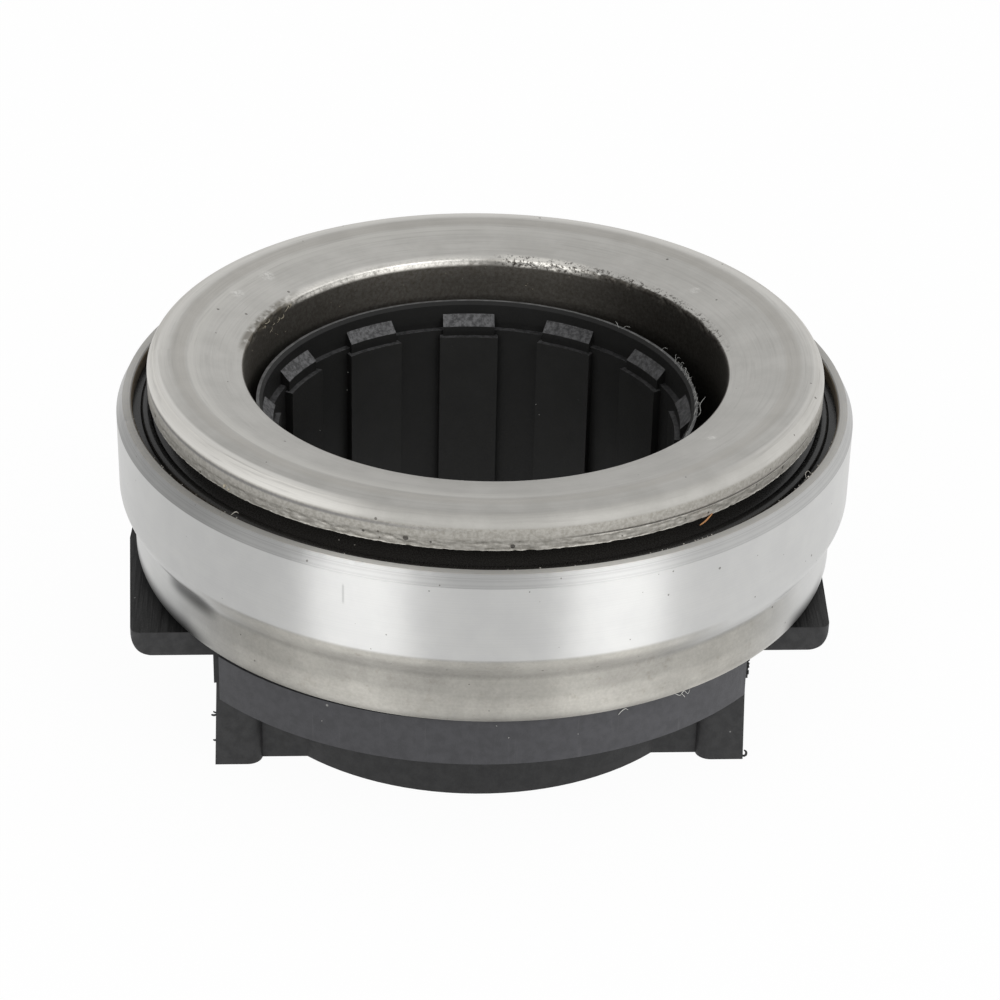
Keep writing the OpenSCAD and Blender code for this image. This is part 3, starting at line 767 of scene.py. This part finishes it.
def ring_wear(place, r, z, turn):
    """Small nicks along the edge between the outer ring's lip and its chamfer."""
    if r < RING_R - CHAMFER_W - 0.3 or z < RING_TOP - 0.4:
        return 0.0
    return 0.06 * max(noise.fractal(place * 1.1, 0.8, 2.1, 3) - 0.25, 0.0)


def no_wear(place, r, z, turn):
    return 0.0


def add_turned(name, outline, wear, steps, sharp, material, body):
    """Ring turned from a closed section, with its surface worn in by a given amount at each place."""
    count = len(outline)
    normals = []
    for i in range(count):
        (ra, za), (rb, zb) = outline[i - 1], outline[(i + 1) % count]
        along = Vector((rb - ra, zb - za)).normalized()
        normals.append((-along.y, along.x))
    points = []
    for j in range(steps):
        turn = 360 * j / steps
        c, s = math.cos(math.radians(turn)), math.sin(math.radians(turn))
        for (r, z), (nr, nz) in zip(outline, normals):
            loss = wear(Vector((r * c, r * s, z)), r, z, turn)
            far = r - nr * loss
            points.append((AXIS_X + far * c, far * s, z - nz * loss))
    faces = []
    for j in range(steps):
        k = (j + 1) % steps
        for i in range(count):
            n = (i + 1) % count
            faces.append((j * count + i, j * count + n, k * count + n, k * count + i))
    piece = add_piece(name, points, faces, material, body)
    piece.data.set_sharp_from_angle(angle=math.radians(sharp))
    return piece


class Bits:
    """Small loose bits of one kind, gathered into one mesh."""

    def __init__(self, seed):
        self.points, self.faces = [], []
        self.chance = random.Random(seed)

    def fibre(self, path, thick, sides=6):
        """Tapered hair along a smooth path through the given points."""
        knots = [Vector(p) for p in path]
        knots = [2 * knots[0] - knots[1]] + knots + [2 * knots[-1] - knots[-2]]
        line = []
        for a, b, c, d in zip(knots, knots[1:], knots[2:], knots[3:]):
            for i in range(6):
                t = i / 6
                line.append(0.5 * (2 * b + (c - a) * t + (2 * a - 5 * b + 4 * c - d) * t * t
                                   + (3 * b - a - 3 * c + d) * t ** 3))
        line.append(knots[-2])
        first = len(self.points)
        for i, point in enumerate(line):
            along = (line[min(i + 1, len(line) - 1)] - line[max(i - 1, 0)]).normalized()
            across = along.orthogonal().normalized()
            aside = along.cross(across)
            share = i / (len(line) - 1)
            radius = thick / 2 * (0.45 + 0.55 * math.sin(math.pi * share) ** 0.5)
            for k in range(sides):
                t = 2 * math.pi * k / sides
                self.points.append(point + (across * math.cos(t) + aside * math.sin(t)) * radius)
        for i in range(len(line) - 1):
            for k in range(sides):
                n = (k + 1) % sides
                base = first + i * sides
                self.faces.append((base + k, base + n, base + sides + n, base + sides + k))
        last = first + (len(line) - 1) * sides
        self.faces.append(tuple(first + k for k in reversed(range(sides))))
        self.faces.append(tuple(last + k for k in range(sides)))

    def crumb(self, at, size, flat=(1.0, 1.0, 1.0)):
        """Uneven little lump."""
        first = len(self.points)
        rings, sides = 4, 7
        for i in range(1, rings):
            low = math.pi * i / rings
            for k in range(sides):
                t = 2 * math.pi * k / sides
                reach = size / 2 * self.chance.uniform(0.7, 1.15)
                self.points.append(Vector(at) + Vector((flat[0] * math.sin(low) * math.cos(t),
                                                        flat[1] * math.sin(low) * math.sin(t),
                                                        flat[2] * math.cos(low))) * reach)
        top, bottom = len(self.points), len(self.points) + 1
        for way in (1, -1):
            self.points.append(Vector(at) + Vector((0, 0, way * flat[2] * size / 2)))
        for k in range(sides):
            n = (k + 1) % sides
            self.faces.append((top, first + k, first + n))
            for i in range(rings - 2):
                base = first + i * sides
                self.faces.append((base + k, base + sides + k, base + sides + n, base + n))
            base = first + (rings - 2) * sides
            self.faces.append((base + k, bottom, base + n))

    def add(self, name, material, body, slot):
        add_piece(name, self.points, self.faces, material, body)


def about(r, turn, z, axis_x=AXIS_X):
    """Point at a radius, a turn in degrees and a height about an upright axis."""
    return Vector((axis_x + r * math.cos(math.radians(turn)), r * math.sin(math.radians(turn)), z))


def trail(*places, axis_x=AXIS_X):
    """Points about an upright axis, each from its radius, turn and height."""
    return [about(*place, axis_x) for place in places]


def add_sleeve_lint(material):
    """White fibres and dust on the flange's rim and in the ribbed bore."""
    bits = Bits(seed=1)
    rim, top = FLANGE_R + 0.05, FLANGE_TOP
    bits.fibre(trail((rim, -58.6, top - 0.35), (rim + 0.08, -57.6, top - 0.65),
                     (rim + 0.05, -56.8, top - 0.4), (rim + 0.08, -56.0, top - 0.8),
                     (rim, -55.4, top - 0.5), axis_x=0), thick=0.06)
    bits.fibre(trail((rim, -57.2, top - 0.6), (rim + 0.1, -56.7, top - 0.95),
                     (rim, -56.5, top - 1.1), axis_x=0), thick=0.05)
    bits.fibre(trail((rim, -69.0, top - 0.8), (rim + 0.1, -68.6, top - 0.45),
                     (rim + 0.08, -67.9, top - 0.3), (rim, -67.3, top - 0.55), axis_x=0), thick=0.07)
    for turn, z in ((130.3, 22.5), (130.7, 20.7), (68.6, 17.5), (142.8, 17.9)):
        bits.crumb(about(RIB_R - 0.01, turn, z, 0), 0.1, (0.6, 0.6, 1.0))
    for _ in range(4):
        turn = bits.chance.uniform(-130, -50)
        z = bits.chance.uniform(FLANGE_LOW + 0.3, FLANGE_TOP - 0.3)
        bits.crumb(about(FLANGE_R, turn, z, 0), bits.chance.uniform(0.05, 0.1))
    bits.add("sleeve_lint", material, "sleeve", "sleeve_plastic")


def add_sleeve_fuzz(material):
    """Grey hairs that stand on the sleeve's mouth at the right, and one long one among them."""
    fuzz = Bits(seed=6)
    out, top = SLEEVE_R, SLEEVE_TOP
    for _ in range(46):
        turn = fuzz.chance.gauss(2.0, 14.0)
        lean, rise = fuzz.chance.uniform(-2.5, 2.5), fuzz.chance.uniform(0.1, 0.6)
        tip = fuzz.chance.uniform(out - 0.2, out + 0.2)
        fuzz.fibre(trail((out - 0.3, turn, top - 0.03), (out - 0.1, turn + lean * 0.5, top + rise),
                         (tip, turn + lean, top + rise * 0.9), axis_x=0), fuzz.chance.uniform(0.03, 0.055))
    fuzz.fibre(trail((out - 0.1, -13.0, top), (out + 0.3, -12.2, top + 0.5), (out + 0.2, -10.6, top + 1.0),
                     (out + 0.6, -9.6, top + 1.6), axis_x=0), thick=0.07)
    fuzz.add("sleeve_fuzz", material, "sleeve", "sleeve_plastic")


def add_sleeve_burrs(material):
    """Burrs that the mould left on the lugs and along the right cheek."""
    burrs = Bits(seed=2)
    root = LUG_Y + 0.18
    burrs.fibre([(-22.7, root, 5.2), (-23.0, LUG_Y, 5.15), (-23.3, LUG_Y, 5.2)], 0.2)
    burrs.fibre([(-22.7, root, 5.3), (-23.0, LUG_Y, 5.45), (-23.1, LUG_Y, 5.55)], 0.15)
    burrs.fibre([(-22.8, root, 2.6), (-23.0, LUG_Y, 2.55), (-23.2, LUG_Y, 2.6)], 0.18)
    burrs.fibre([(22.8, root, 0.3), (23.25, LUG_Y, 0.35), (23.35, LUG_Y, 0.7), (23.15, LUG_Y, 0.95)], 0.22)
    for _ in range(14):
        z = burrs.chance.uniform(FLANGE_LOW + 0.3, FLANGE_TOP - 0.2)
        burrs.crumb((CHEEK_X, LUG_Y, z), burrs.chance.uniform(0.12, 0.24))
    burrs.add("sleeve_burrs", material, "sleeve", "sleeve_plastic")


def add_housing_dust(material):
    """Dust on the seal and along the outer ring's lip."""
    bits = Bits(seed=3)
    lip = RING_TOP + 0.02
    crumbs = ((29.95, -136.0, 26.85, 0.14), (28.5, -116.9, 27.4, 0.12), (28.6, -114.0, 27.35, 0.1),
              (30.95, -61.6, lip, 0.14), (31.0, -64.5, lip, 0.1), (30.95, -56.4, lip, 0.12),
              (30.95, -84.5, lip, 0.14), (31.0, -79.3, lip, 0.1), (31.1, -88.3, lip, 0.12),
              (30.95, -31.9, lip, 0.2), (31.0, -30.6, lip, 0.14))
    for r, turn, z, size in crumbs:
        bits.crumb(about(r, turn, z), size, (1.0, 1.0, 0.7))
    bits.fibre(trail((30.95, -32.6, lip), (30.7, -32.0, lip + 0.25), (30.75, -31.2, lip + 0.3),
                     (30.95, -30.8, lip)), 0.05)
    bits.fibre(trail((30.92, -134.4, lip - 0.05), (30.6, -134.0, lip + 0.2),
                     (30.45, -133.6, lip + 0.1)), 0.07)
    bits.fibre(trail((29.9, -84.0, 26.85), (29.8, -81.5, 27.0), (29.9, -79.0, 26.88)), 0.06)
    for _ in range(24):
        bits.crumb(about(30.9, bits.chance.uniform(-170, -10), lip - 0.06), bits.chance.uniform(0.06, 0.12))
    bits.add("seal_dust", material, "bearing_housing", "seal_rubber")


def add_bore_lint(material):
    """Fibres and crumbs caught on the thrust ring's worn bore edge, and two crumbs under its rim."""
    bits = Bits(seed=4)
    for middle, height, count in ((150.5, 29.3, 6), (146.0, 30.05, 3), (158.0, 29.7, 3)):
        for _ in range(count):
            turn, z = bits.chance.gauss(middle, 1.6), min(bits.chance.gauss(height, 0.18), 30.15)
            lean, drop = bits.chance.uniform(-2.4, 2.4), bits.chance.uniform(-0.2, 0.5)
            bits.fibre(trail((BORE_R + 0.05, turn, z), (BORE_R - 0.15, turn + lean * 0.5, z - drop * 0.2),
                             (BORE_R - 0.04, turn + lean, z - drop)), bits.chance.uniform(0.03, 0.06))
    bits.crumb(about(RIM_R, -138.9, 29.0), 0.34, (0.8, 0.8, 1.0))
    bits.crumb(about(RIM_R, -137.9, 28.9), 0.2)
    for _ in range(24):
        turn = bits.chance.uniform(60, 172)
        bits.crumb(about(BORE_R, turn, bits.chance.uniform(27.5, 29.8)), bits.chance.uniform(0.04, 0.08))
    bits.add("bore_lint", material, "thrust_ring", "thrust_steel")


def add_shred(material):
    """One orange shred under the thrust ring's rim."""
    shred = Bits(seed=5)
    shred.fibre(trail((RIM_R - 0.03, -53.9, 28.72), (RIM_R + 0.2, -55.0, 28.66),
                      (RIM_R + 0.42, -56.3, 28.55), (RIM_R + 0.48, -57.3, 28.45)), thick=0.14)
    shred.add("orange_shred", material, "thrust_ring", "thrust_steel")


def make_floor():
    """Pale floor that shows white to the camera and in reflections, and still takes the shadow."""
    mesh = bpy.data.meshes.new("floor")
    corners = [(x * FLOOR_HALF, y * FLOOR_HALF, 0) for x, y in ((-1, -1), (1, -1), (1, 1), (-1, 1))]
    mesh.from_pydata(corners, [], [(0, 1, 2, 3)])
    floor = bpy.data.objects.new("floor", mesh)
    bpy.context.scene.collection.objects.link(floor)
    floor.location.z = sleeve_lo.z * MM
    material = bpy.data.materials.new("floor_white")
    material.use_nodes = True
    material.node_tree.nodes.clear()
    m = Nodes(material.node_tree)
    rays = m.add("LightPath").outputs
    seen = m.most(m.plus(rays["Is Camera Ray"], rays["Is Glossy Ray"]), rays["Is Transmission Ray"])
    matte = m.add("BsdfDiffuse", {"Color": tint(0.9, 0.9, 0.9)}).outputs[0]
    glow = m.add("Emission").outputs[0]
    mixed = m.add("MixShader", {0: m.times(seen, FLOOR_WHITE), 1: matte, 2: glow}).outputs[0]
    m.add("OutputMaterial", {"Surface": mixed})
    mesh.materials.append(material)


def make_world():
    """Soft studio surroundings: paler low down than overhead, darker at the left than at the right."""
    world = bpy.data.worlds.new("studio")
    world.use_nodes = True
    bpy.context.scene.world = world
    world.node_tree.nodes.clear()
    w = Nodes(world.node_tree)
    x, _, z = w.split(w.add("TexCoord").outputs["Generated"])
    ramp = w.add("ValToRGB", {0: z})
    stops = ramp.color_ramp.elements
    stops[0].position = 0.0
    stops[0].color = tint(0.98, 0.98, 0.98)
    stops[1].position = 0.9
    stops[1].color = tint(0.72, 0.72, 0.72)
    stops.new(0.5).color = tint(0.80, 0.80, 0.80)
    sideways = w.times(x, w.math("ABSOLUTE", x))
    steep = w.math("MULTIPLY_ADD", z, 0.6, 0.2)
    tone = w.shade(ramp.outputs[0], w.math("MULTIPLY_ADD", sideways, steep, 0.98))
    back = w.add("Background", {"Color": tone}).outputs[0]
    w.add("OutputWorld", {"Surface": back})


def make_lamp(name, turn, width, power):
    """Soft box that faces the bearing. Turn is measured from +X, anticlockwise from above."""
    data = bpy.data.lights.new(name, "AREA")
    data.shape = "RECTANGLE"
    data.size = width
    data.size_y = LAMP_TALL
    data.energy = power
    lamp = bpy.data.objects.new(name, data)
    bpy.context.scene.collection.objects.link(lamp)
    angle = math.radians(turn)
    place = Vector((LAMP_REACH * math.cos(angle), LAMP_REACH * math.sin(angle), LAMP_HEIGHT))
    lamp.location = place
    target = Vector((AXIS_X * MM, 0, RING_TOP * MM))
    lamp.rotation_euler = (target - place).to_track_quat("-Z", "Y").to_euler()


def make_camera():
    data = bpy.data.cameras.new("camera")
    data.sensor_width = SENSOR
    data.lens = LENS
    data.clip_start = 0.01
    camera = bpy.data.objects.new("camera", data)
    bpy.context.scene.collection.objects.link(camera)
    yaw, pitch, roll = (math.radians(a) for a in (CAMERA_YAW, CAMERA_PITCH, CAMERA_ROLL))
    forward = Vector((math.sin(yaw) * math.cos(pitch), math.cos(yaw) * math.cos(pitch), -math.sin(pitch)))
    right = Vector((math.cos(yaw), -math.sin(yaw), 0))
    up = right.cross(forward)
    across = right * math.cos(roll) + up * math.sin(roll)
    upward = up * math.cos(roll) - right * math.sin(roll)
    turned = Matrix((across, upward, -forward)).transposed().to_4x4()
    place = Matrix.Translation(Vector((0, -CAMERA_REACH, CAMERA_HEIGHT)) * MM) @ turned
    spin = Matrix.Translation((AXIS_X * MM, 0, 0)) @ Matrix.Rotation(math.radians(CAMERA_TURN), 4, "Z")
    camera.matrix_world = spin @ place
    bpy.context.scene.camera = camera


bpy.context.scene.view_settings.view_transform = "Standard"
make_camera()
make_floor()
make_world()
for lamp in LAMPS:
    make_lamp(*lamp)

thrust = add_turned("thrust_ring_worn", thrust_outline(), thrust_wear, steps=720, sharp=42,
                    material=thrust_steel(), body="thrust_ring")
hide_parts("thrust_ring")
ring = add_turned("outer_ring_worn", ring_outline(), ring_wear, steps=540, sharp=20,
                  material=ring_steel(), body="bearing_housing")
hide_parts("outer_ring")
rubber = seal_rubber()
add_turned("seal_bead", bead_outline(), no_wear, steps=360, sharp=60,
           material=rubber, body="bearing_housing")
plastic = sleeve_plastic()
dress("sleeve", plastic)
dress("upper_seal", rubber)
dress("ball_cage", cage_plastic())
dress("lower_shield", plain_steel("shield_steel", shade=0.42, rough=0.35))
spring = plain_steel("spring_steel", shade=0.30, rough=0.3)
dress("disc_spring", spring)
dress("retaining_ring", spring)
ball = plain_steel("ball_steel", shade=0.62, rough=0.08)
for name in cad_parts:
    if name.startswith("ball_") and name != "ball_cage":
        dress(name, ball)

add_sleeve_lint(lint("lint_white", tint(0.70, 0.70, 0.67), tint(0.42, 0.41, 0.38)))
add_sleeve_fuzz(lint("lint_grey", tint(0.46, 0.46, 0.44), tint(0.22, 0.22, 0.21)))
add_sleeve_burrs(plastic)
add_housing_dust(lint("lint_pale", tint(0.50, 0.48, 0.44), tint(0.28, 0.26, 0.22)))
add_bore_lint(lint("lint_straw", tint(0.50, 0.46, 0.36), tint(0.28, 0.24, 0.17)))
add_shred(lint("lint_rust", tint(0.44, 0.22, 0.08), tint(0.30, 0.13, 0.05)))
